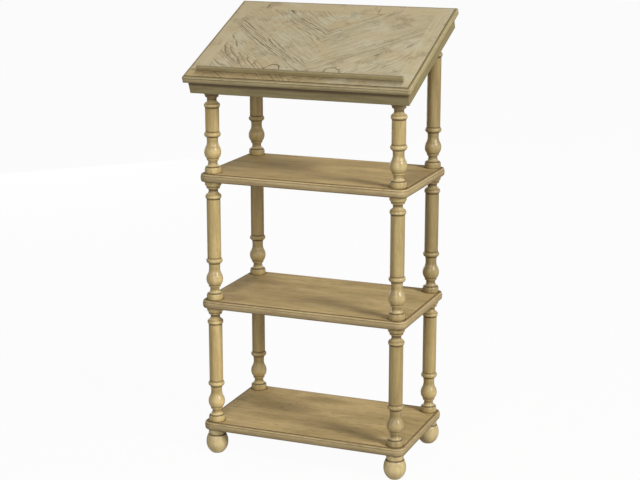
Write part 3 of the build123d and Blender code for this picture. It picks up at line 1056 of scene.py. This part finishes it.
    def ground(self, net: Net, at: LeafPlace, vector: Wire) -> Surface:
        """The veneer without its figure: stained, browner or greyer by place.

        Args:
            net: the material's nodes.
            at: where the point is.
            vector: the point, with its z along the grain.

        Returns:
            The surface.
        """
        wood = self.stained(net, vector)
        browning = self.browning.mask(net.join(at.x, at.up, 0.0))
        by_place = at.number.step(*self.brown_rear_leaf).most(
            at.off_rear.step(*self.brown_rear), at.x.step(*self.brown_left))
        browned = net.math("ADD", browning, by_place, clamp=True)
        strip = at.up.step(*self.strip_up) * at.x.step(*self.strip_across)
        colour = net.mix(browned, wood.colour, self.brown)
        colour = net.mix(at.border * self.border_share, colour, self.border_plain)
        colour = net.mix(self.clouds.mask(net.join(at.x, at.up, at.number)), colour, self.grey)
        return replace(wood, colour=net.mix(strip, colour, self.strip_brown))

    def figure(self, net: Net, at: LeafPlace) -> tuple[Wire, Wire]:
        """Growth rings as the knife cuts them: nested arches in the lowest leaf, lines above.

        Args:
            net: the material's nodes.
            at: where the point is.

        Returns:
            Thin dark lines, and the pale lines beside them.
        """
        point = net.join(at.w, at.g, at.number)
        place = point.scaled(*self.drift_rates)
        shift = (self.drift.about_zero(place) * self.drift_reach
                 + self.wave.about_zero(place) * self.wave_reach)
        crowded = self.crowding.about_zero(point.scaled(*self.crowding_rates))
        aside = at.w - self.heart
        radius = aside.far(at.g * aside.step(*self.crown))
        ring = net.mix(at.lowest, at.w, radius, Mixed.NUMBER)
        pitch = at.lowest * (self.ring_pitch - self.fine_pitch) + self.fine_pitch
        phase = net.math("FRACT", (ring + (crowded * self.crowding_reach + shift)) / pitch)
        return phase.hump(*self.line), phase.hump(*self.pale_line)

    def spot(self, net: Net, knot: Knot, at: LeafPlace) -> Wire:
        """A mask of one knot in both halves. Of the eye, only the edge is dark.

        Args:
            net: the material's nodes.
            knot: the knot.
            at: where the point is.

        Returns:
            The mask.
        """
        lean = math.radians(knot.lean)
        cos, sin = math.cos(lean), math.sin(lean)
        to_side, to_rear = at.aside - knot.aside * MM, at.up - knot.up * MM
        across = (to_side * sin + to_rear * -cos) / (knot.half_width * MM)
        along = (to_side * cos + to_rear * sin) / (knot.half_length * MM)
        ragged = self.knot_edge.about_zero(net.join(at.aside, at.up, at.on_right))
        away = ragged * self.knot_raggedness + across.far(along)
        shape = away.hump(*self.eye_line) if knot is self.eye else away.step(*self.knot_span)
        return shape * (at.on_right * (knot.right - knot.left) + knot.left)

    def seams(self, net: Net, at: LeafPlace, broken: Wire) -> Wire:
        """The lines between leaves, down the middle and along the border.

        Args:
            net: the material's nodes.
            at: where the point is.
            broken: where the lines of the figure hold.

        Returns:
            The mask.
        """
        seam = (at.leaf - net.math("ROUND", at.leaf)).hump(0.0, self.seam_half) * at.inside
        return (seam * (broken * self.seam_breaks + self.seam_depth)).most(
            at.x.hump(0.0, self.middle_half) * self.middle_depth,
            at.out.hump(0.0, self.joint_half) * self.joint_depth)

    def beside_ledge(self, at: LeafPlace) -> Wire:
        """Painted shade with glaze in front of the ledge, and glaze in the corners that it makes
        with the board.

        Args:
            at: where the point is.

        Returns:
            The mask.
        """
        before = self.ledge_front - at.up
        # painted shade with glaze, fading out across the strip in front of the ledge
        shade_in_front = before.step(*self.ledge_shade) * (before > 0.0)
        lines = (before.hump(0.0, self.front_line_half),
                 at.up.hump(self.ledge_rear, self.rear_line_half))
        return shade_in_front.most(*lines) * at.aside.step(*self.ledge_end)

    def draw(self, net: Net) -> None:
        """Leaves, border, figure, knots and seams, glaze and painted shade beside the ledge,
        varnish.

        Args:
            net: the material's nodes.
        """
        at = self.where(net)
        border_run = net.mix(at.off_rear > at.off_side, net.join(at.aside, at.own, at.up),
                             net.join(at.up, at.own, at.x), Mixed.VECTOR)
        vector = net.mix(at.border, net.join(at.w, at.own, at.g), border_run, Mixed.VECTOR)
        wood = self.ground(net, at, vector)

        first = self.boldness[0][0]
        bold = net.ramp((at.w - first * MM) / (self.figure_reach * MM),
                        [((place - first) / self.figure_reach, level)
                         for place, level in self.boldness])
        rate = at.lowest * (self.lowest_break_rate - self.break_rate) + self.break_rate
        broken = self.breaks.mask(net.join(at.w * rate, at.g * self.break_length, at.own))
        shown = (broken * bold) * (at.x.step(*self.half_depth) * at.inside)
        line, pale_line = self.figure(net, at)
        colour = net.mix(pale_line * shown * self.pale_line_depth, wood.colour, self.tone.pale)

        fine = net.join(at.w, at.g, at.own).scaled(*self.scratch_rates)
        scratches = self.scratches.mask(fine) * (at.inside * at.x.step(*self.scratch_depth))
        flat = net.join(at.x, at.up, at.own)
        spots = self.spot(net, self.eye, at).most(*(self.spot(net, knot, at)
                                                    for knot in self.knots))
        blotches = self.blotches.mask(flat) * self.speckle.mask(flat) * self.blotch_depth
        drawn = (at.below < self.face_depth) * (line * shown).most(
            spots * self.roughened.mask(flat), self.seams(net, at, broken), scratches, blotches)

        sides = at.below.step(*self.side_top) * at.below.step(*self.side_foot)
        arris = self.rim.arris(self.slope.beyond_board(at.x, at.up))
        figured = Surface(net.mix(drawn, colour, self.tone.glaze),
                          wood.relief - drawn * self.cut_depth, wood.dull.most(drawn))
        self.worn(net, figured, vector, self.beside_ledge(at).most(arris, sides))


@dataclass(frozen=True)
class BareWood(Wood):
    """Wood without stain or varnish, on the pieces that no one sees."""

    varnish: Varnish = Varnish(roughness=0.7, coat=0.0)
    run: GrainRun = GrainRun.UPRIGHT

    def draw(self, net: Net) -> None:
        """Plain streaked wood."""
        vector = self.run.turn(*net.split(net.point()))
        self.varnished(net, self.stained(net, vector), vector)


@dataclass(frozen=True)
class ZincSteel(Finish):
    """Zinc-plated steel of the screws."""

    name: str = "zinc_steel"
    light: Colour = srgb(196, 196, 190)
    dark: Colour = srgb(140, 140, 136)
    flakes: Pattern = Pattern(900.0)
    roughness: Span = (0.3, 0.7, 0.28, 0.45)

    def draw(self, net: Net) -> None:
        """Flaked metal.

        Args:
            net: the material's nodes.
        """
        flakes = self.flakes.plain(net.point())
        shader = net.add("ShaderNodeBsdfPrincipled", {
            "Base Color": net.mix(flakes, self.light, self.dark), "Metallic": 1.0,
            "Roughness": flakes.step(*self.roughness)})
        net.node("ShaderNodeOutputMaterial", {"Surface": shader})


@dataclass(frozen=True)
class GlidePlastic(Finish):
    """Dark matt plastic of the glides, with scuffs here and there."""

    name: str = "glide_plastic"
    body: Colour = srgb(58, 50, 42)
    scuff: Colour = srgb(92, 82, 70)
    scuffs: Pattern = Pattern(260.0, 3.0, fade=(0.5, 0.7))
    roughness: float = 0.55
    scuff_roughness: float = 0.15

    def draw(self, net: Net) -> None:
        """Scuffed plastic.

        Args:
            net: the material's nodes.
        """
        scuffs = self.scuffs.mask(net.point())
        shader = net.add("ShaderNodeBsdfPrincipled", {
            "Base Color": net.mix(scuffs, self.body, self.scuff),
            "Roughness": scuffs * self.scuff_roughness + self.roughness})
        net.node("ShaderNodeOutputMaterial", {"Surface": shader})


# ---------------------------------------------------------------- the stand's sub-assemblies
def dress(node: str, finish: Finish) -> str:
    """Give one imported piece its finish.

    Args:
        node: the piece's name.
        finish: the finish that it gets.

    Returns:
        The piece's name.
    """
    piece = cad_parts[node]
    material = finish.material()
    for slot in piece.material_slots:
        slot.material = material
    return node


@dataclass
class Turnings:
    """The spindles and bun feet."""

    tone: Tone = Tone(srgb(184, 163, 113), srgb(160, 138, 91), pale=srgb(208, 188, 138))
    foot_tone: Tone = Tone(srgb(202, 182, 134), srgb(180, 160, 114), pale=srgb(216, 196, 148))
    varnish: Varnish = Varnish(roughness=0.31, specular=0.38, coat=0.0)
    # how light each spindle is, in the order of CORNERS: partly how it takes the stain, partly
    # painted light and shade
    takes: dict[str, tuple[float, ...]] = field(default_factory=lambda: {
        "lower": (1.22, 0.86, 1.32, 1.06), "middle": (1.08, 0.93, 1.12, 0.74),
        "upper": (1.11, 0.98, 1.08, 0.77)})
    # heights above the seat: upper bead by row, and quirk under the lower bead
    shelf_bead: float = 272.8 * MM
    front_bead: float = 174.0 * MM
    rear_bead: float = 293.5 * MM
    shelf_quirk: float = 95.8 * MM
    top_quirk: float = 92.2 * MM
    # above the seat: seat, drum quirk, neck, both sides of the collar, throat
    base_glaze: tuple[Ring, ...] = rings((0.3, 1.8, 0.35), (16.2, 2.2, 0.75), (27.0, 5.0, 0.35),
                                         (33.2, 1.6, 0.6), (37.8, 2.0, 0.7), (81.6, 9.0, 0.15))
    # above the seat, rubbed paler and with painted highlight: drum, lip of the flare, collar, belly
    base_pale: tuple[Ring, ...] = rings((8.1, 5.0, 0.4), (19.4, 2.6, 1.3), (35.5, 2.0, 1.0),
                                        (53.6, 13.0, 0.8))
    # above the lower bead's quirk: the quirk, the foot of the shaft; the bead, rubbed paler with
    # painted highlight
    lower_bead_glaze: tuple[Ring, ...] = rings((0.8, 3.8, 0.85), (14.8, 2.4, 0.6))
    lower_bead_pale: tuple[Ring, ...] = rings((8.2, 3.4, 0.6))
    # above the upper bead: both sides of it; rubbed paler with painted highlight: the bead, the
    # flare of the cap
    bead_glaze: tuple[Ring, ...] = rings((-5.6, 3.2, 1.0), (4.4, 1.5, 0.45))
    bead_pale: tuple[Ring, ...] = rings((0.0, 3.2, 1.0), (7.6, 2.6, 0.9))
    # caps under a shelf: hollow and ring; lip, rubbed paler with painted highlight; and the seam
    # under the shelf, from the top down
    shelf_cap_glaze: tuple[Ring, ...] = rings((17.2, 6.0, 0.65), (25.9, 2.0, 0.8))
    shelf_cap_pale: tuple[Ring, ...] = rings((30.6, 3.0, 0.6))
    shelf_seam_glaze: tuple[Ring, ...] = rings((-0.3, 2.4, 1.0))
    # caps under the reading top: neck, cove, ring, top, the neck and top partly painted shade;
    # painted shade over all of them
    top_cap_glaze_and_shade: tuple[Ring, ...] = rings((15.4, 6.0, 0.8), (21.7, 2.6, 1.0),
                                            (25.9, 2.2, 0.7), (34.0, 10.0, 1.6))
    top_cap_painted_shade: tuple[Ring, ...] = rings((26.0, 15.0, 0.62))
    # feet: the sole; then from the top down the quirk and the seam; rubbed paler with painted
    # highlight: the belly and the collar
    sole_glaze: tuple[Ring, ...] = rings((1.0, 3.0, 0.6))
    foot_glaze: tuple[Ring, ...] = rings((-16.6, 2.6, 1.0), (-0.4, 2.6, 1.0))
    foot_pale: tuple[Ring, ...] = rings((-38.8, 18.0, 0.8), (-7.0, 4.0, 0.5))
    spindle_spare: float = 30.0 * MM
    foot_spare: float = 10.0 * MM

    def spindle_finish(self, tier: str, corner: str) -> TurnedWood:
        """The finish of one spindle.

        Args:
            tier: lower, middle or upper.
            corner: the corner that it stands at.

        Returns:
            The finish.
        """
        node = f"{tier}_spindle_{corner}"
        low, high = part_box(node)
        length = high.z - low.z
        under_top = tier == "upper"
        quirk, bead = self.shelf_quirk, self.shelf_bead
        if under_top:
            quirk = self.top_quirk
            bead = self.front_bead if corner.startswith("front") else self.rear_bead
        dark = (self.base_glaze + raised(self.lower_bead_glaze, quirk)
                + raised(self.bead_glaze, bead))
        pale = (self.base_pale + raised(self.lower_bead_pale, quirk)
                + raised(self.bead_pale, bead))
        if under_top:
            dark += raised(self.top_cap_glaze_and_shade, bead)
        else:
            dark += raised(self.shelf_cap_glaze, bead) + raised(self.shelf_seam_glaze, length)
            pale += raised(self.shelf_cap_pale, bead)
        # the share is partly painted light and shade from where the spindle stands
        return TurnedWood(f"{node}_wood", self.tone.taken(self.takes[tier][CORNERS.index(corner)]),
                          self.varnish, across=80.0, stretch=12.0, fibre_depth=0.2, seat=low.z,
                          reach=length + self.spindle_spare, dark_rings=dark, pale_rings=pale,
                          painted_shade_rings=raised(self.top_cap_painted_shade, bead) if under_top else ())

    def foot_finish(self) -> TurnedWood:
        """The finish of the bun feet.

        Returns:
            The finish.
        """
        low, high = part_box(f"foot_{CORNERS[0]}")
        height = high.z - low.z
        return TurnedWood("bun_foot_wood", self.foot_tone, self.varnish, across=60.0, stretch=8.0,
                          fibre_depth=0.2, seat=low.z, reach=height + self.foot_spare,
                          dark_rings=self.sole_glaze + raised(self.foot_glaze, height),
                          pale_rings=raised(self.foot_pale, height))

    def build(self) -> list[str]:
        """Dress every turned piece.

        Returns:
            The names of the pieces.
        """
        dressed = [dress(f"foot_{corner}", self.foot_finish()) for corner in CORNERS]
        return dressed + [dress(f"{tier}_spindle_{corner}", self.spindle_finish(tier, corner))
                          for corner in CORNERS for tier in self.takes]


@dataclass
class Shelves:
    """The three moulded shelves."""

    tone: Tone = Tone(srgb(217, 190, 136), srgb(197, 171, 118), glaze=srgb(92, 72, 42))
    varnish: Varnish = Varnish(roughness=0.66, specular=0.10, coat=0.0)
    places: dict[str, tuple[Patch, ...]] = field(default_factory=lambda: {
        "bottom": (Patch(-0.120, 0.040, 0.110, 0.060, 0.36),
                   Patch(-0.050, 0.125, 0.080, 0.030, 0.38),
                   # this place lies along the front right post's shadow: a painted shadow
                   Patch(0.110, -0.060, 0.140, 0.035, 0.36)),
        "middle": (Patch(0.050, -0.030, 0.110, 0.050, 0.30),
                   Patch(-0.245, 0.030, 0.030, 0.110, 0.36),
                   Patch(-0.215, -0.100, 0.050, 0.045, 0.38)),
        "top": (Patch(-0.100, 0.050, 0.100, 0.090, 0.42),
                Patch(0.250, 0.020, 0.070, 0.150, 0.38),
                Patch(0.060, 0.120, 0.110, 0.040, 0.26)),
    })

    def build(self) -> list[str]:
        """Dress the shelves.

        Returns:
            The names of the pieces.
        """
        post_low, post_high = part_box("lower_spindle_rear_right")
        post = (post_low + post_high) / 2
        dressed = []
        for name, dark_places in self.places.items():
            low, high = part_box(f"{name}_shelf")
            centre_y = (low.y + high.y) / 2
            finish = ShelfWood(f"{name}_shelf_wood", self.tone, self.varnish, across=34.0,
                               stretch=11.0, warp=2.0, fibre_depth=0.22, top=high.z,
                               thickness=high.z - low.z, centre_y=centre_y,
                               post=(post.x, post.y - centre_y),
                               reach=(high.x, high.y - centre_y), dark_places=dark_places)
            dressed.append(dress(f"{name}_shelf", finish))
        return dressed


@dataclass
class ReadingTop:
    """The slanted top: veneered board, mouldings, rails and ledge."""

    slope: Slope = field(default_factory=Slope.of_board)
    veneer_tone: Tone = Tone(srgb(209, 197, 165), srgb(190, 176, 141), srgb(68, 53, 31),
                             srgb(224, 215, 188))
    veneer_varnish: Varnish = Varnish(roughness=0.6, specular=0.15, coat=0.0, relief=0.3 * MM)
    rim_tone: Tone = Tone(srgb(151, 137, 100), srgb(129, 115, 80), pale=srgb(190, 176, 138))
    # the side pieces are lighter copies of the front and rear ones: partly painted light
    side_rim_lit_tone: Tone = Tone(srgb(158, 143, 100), srgb(136, 121, 79), pale=srgb(196, 181, 136))
    rail_tone: Tone = Tone(srgb(142, 129, 91), srgb(122, 109, 73))
    side_rail_lit_tone: Tone = Tone(srgb(149, 136, 90), srgb(129, 115, 72))
    ledge_tone: Tone = Tone(srgb(168, 154, 112), srgb(148, 134, 95))
    board_depth: float = 18.0 * MM
    # below the board's face: painted shade under the moulding and glaze at the foot of the rail;
    # glaze round the ledge
    rail_shade_and_glaze: tuple[Ring, ...] = rings((25.5, 9.5, 1.25), (52.8, 2.6, 0.8))
    ledge_corners: tuple[Ring, ...] = rings((0.0, 1.6, 1.0), (-11.5, 1.4, 0.35))

    def build(self) -> list[str]:
        """Dress the board and everything that goes round it.

        Returns:
            The names of the pieces.
        """
        veneer = Veneer("reading_veneer", self.veneer_tone, self.veneer_varnish, across=160.0,
                        stretch=16.0, warp=1.2, fibre_depth=0.14, pore_depth=0.4,
                        slope=self.slope)
        dressed = [dress("reading_board", veneer)]
        for side in EDGES:
            run, rim_tone, rail_tone = (
                (GrainRun.SIDEWAYS, self.rim_tone, self.rail_tone) if side in ("front", "rear")
                else (GrainRun.DEEP, self.side_rim_lit_tone, self.side_rail_lit_tone))
            rim = TopWood(f"moulding_wood_{run.name.lower()}", rim_tone, across=110.0,
                          stretch=18.0, fibre_depth=0.2, slope=self.slope, run=run,
                          thickness=self.board_depth)
            rail = TopWood(f"rail_wood_{run.name.lower()}", rail_tone, across=80.0, stretch=14.0,
                           fibre_depth=0.2, slope=self.slope, run=run, has_rim=False,
                           corners=self.rail_shade_and_glaze)
            dressed += [dress(f"board_moulding_{side}", rim), dress(f"apron_{side}", rail)]
        ledge = TopWood("ledge_wood", self.ledge_tone, across=110.0, stretch=18.0,
                        slope=self.slope, has_rim=False, corners=self.ledge_corners)
        return dressed + [dress("book_ledge", ledge)]


@dataclass
class HiddenFixings:
    """Bearers, studs, dowels, screws and glides."""

    tone: Tone = Tone(srgb(206, 182, 138), srgb(180, 154, 110))

    def build(self) -> list[str]:
        """Dress the fixings.

        Returns:
            The names of the pieces.
        """
        upright = BareWood("stud_wood", self.tone)
        sloping = BareWood("bearer_wood", self.tone, run=GrainRun.DEEP)
        finishes = {"bottom_shelf_studs": upright, "middle_shelf_studs": upright,
                    "top_shelf_studs": upright, "top_studs": upright, "ledge_dowels": upright,
                    "bearer_left": sloping, "bearer_right": sloping,
                    "board_screws": ZincSteel(), "foot_glides": GlidePlastic()}
        return [dress(node, finish) for node, finish in finishes.items()]


# ---------------------------------------------------------------- studio and camera
@dataclass(frozen=True)
class Station:
    """Where a lamp or the camera stands about what it points at: degrees and metres."""

    azimuth: float
    elevation: float
    distance: float

    def put(self, name: str, data: bpy.types.ID, aim: Vector) -> bpy.types.Object:
        """Put a lamp or a camera there.

        Args:
            name: the name that it gets.
            data: the lamp or the camera.
            aim: the point that it points at.

        Returns:
            The new object.
        """
        azimuth, elevation = math.radians(self.azimuth), math.radians(self.elevation)
        back = Vector((math.sin(azimuth) * math.cos(elevation),
                       -math.cos(azimuth) * math.cos(elevation), math.sin(elevation)))
        made = bpy.data.objects.new(name, data)
        made.location = aim + back * self.distance
        made.rotation_euler = (-back).to_track_quat("-Z", "Y").to_euler()
        bpy.context.scene.collection.objects.link(made)
        return made


@dataclass(frozen=True)
class Softbox:
    """A square studio lamp that points at the stand."""

    name: str
    station: Station
    size: float
    power: float
    tint: tuple[float, float, float] = (1.0, 1.0, 1.0)

    def build(self, aim: Vector) -> None:
        """Hang the lamp, out of the camera's sight.

        Args:
            aim: the point that it shines at.
        """
        light = bpy.data.lights.new(self.name, "AREA")
        light.shape = "SQUARE"
        light.size = self.size
        light.energy = self.power
        light.color = self.tint
        self.station.put(self.name, light, aim).visible_camera = False


@dataclass
class Studio:
    """A pale floor, a white surround, soft lamps and the camera."""

    floor_reach: float = 14.0
    floor_colour: Colour = srgb(212, 211, 207)
    floor_white: float = 0.96
    surround: float = 0.11
    lamps: tuple[Softbox, ...] = (
        Softbox("key_softbox", Station(72.0, 28.0, 9.0), 2.4, 705.0, (1.0, 0.985, 0.95)),
        Softbox("front_fill", Station(12.0, 22.0, 3.2), 1.8, 50.0),
        Softbox("rear_fill", Station(225.0, 6.0, 4.0), 2.0, 32.0),
    )
    lens: float = 87.58
    sight: float = 100.0
    station: Station = Station(21.825, 13.725, 4.0567)
    aim_aside: float = -0.0089
    aim_back: float = -0.0035
    aim_height: float = 0.5036

    def aim(self) -> Vector:
        """The point that camera and lamps look at, over the middle of the feet.

        Returns:
            The point.
        """
        glides_low, glides_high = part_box("foot_glides")
        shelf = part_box("bottom_shelf")[0].z
        middle = (glides_low + glides_high) / 2
        return Vector((middle.x + self.aim_aside, middle.y + self.aim_back,
                       shelf + self.aim_height))

    def camera(self) -> None:
        """Set up the camera."""
        data = bpy.data.cameras.new("camera")
        data.lens = self.lens
        data.clip_end = self.sight
        bpy.context.scene.camera = self.station.put("camera", data, self.aim())

    def floor(self) -> None:
        """Lay the floor: pale paint, shown nearer white to the camera alone."""
        reach = self.floor_reach
        mesh = bpy.data.meshes.new("studio_floor")
        mesh.from_pydata([(-reach, -reach, 0), (reach, -reach, 0), (reach, reach, 0),
                          (-reach, reach, 0)], [], [(0, 1, 2, 3)])
        laid = bpy.data.objects.new("studio_floor", mesh)
        bpy.context.scene.collection.objects.link(laid)
        paint = bpy.data.materials.new("floor_paint")
        paint.use_nodes = True
        net = Net(paint.node_tree)
        matt = net.add("ShaderNodeBsdfDiffuse", {"Color": self.floor_colour})
        white = net.add("ShaderNodeEmission", {"Color": WHITE})
        share = net.add("ShaderNodeLightPath", {}, "Is Camera Ray") * self.floor_white
        both = net.add("ShaderNodeMixShader", {0: share, 1: matt, 2: white})
        net.node("ShaderNodeOutputMaterial", {"Surface": both})
        mesh.materials.append(paint)

    def surroundings(self) -> None:
        """White all round for the camera and for gloss, and a soft grey light on the stand."""
        world = bpy.data.worlds.new("studio_world")
        world.use_nodes = True
        net = Net(world.node_tree)
        rays = net.node("ShaderNodeLightPath", {})
        seen, gloss, through = (Wire(net, rays.outputs[f"Is {kind} Ray"])
                                for kind in ("Camera", "Glossy", "Transmission"))
        strength = seen.most(gloss, through) * (1.0 - self.surround) + self.surround
        sky = net.add("ShaderNodeBackground", {"Color": WHITE, "Strength": strength})
        net.node("ShaderNodeOutputWorld", {"Surface": sky})
        bpy.context.scene.world = world

    def build(self) -> list[str]:
        """Set up the whole studio.

        Returns:
            The names of the lamps.
        """
        bpy.context.scene.view_settings.view_transform = "Standard"
        self.surroundings()
        self.floor()
        for lamp in self.lamps:
            lamp.build(self.aim())
        self.camera()
        return [lamp.name for lamp in self.lamps]


def main() -> None:
    """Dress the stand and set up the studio."""
    logging.basicConfig(level=logging.INFO, format="%(name)s: %(message)s")
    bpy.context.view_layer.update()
    for part in (Turnings(), Shelves(), ReadingTop(), HiddenFixings(), Studio()):
        for name in part.build():
            LOG.info("%s: %s", type(part).__name__, name)


if __name__ == "__main__":
    main()
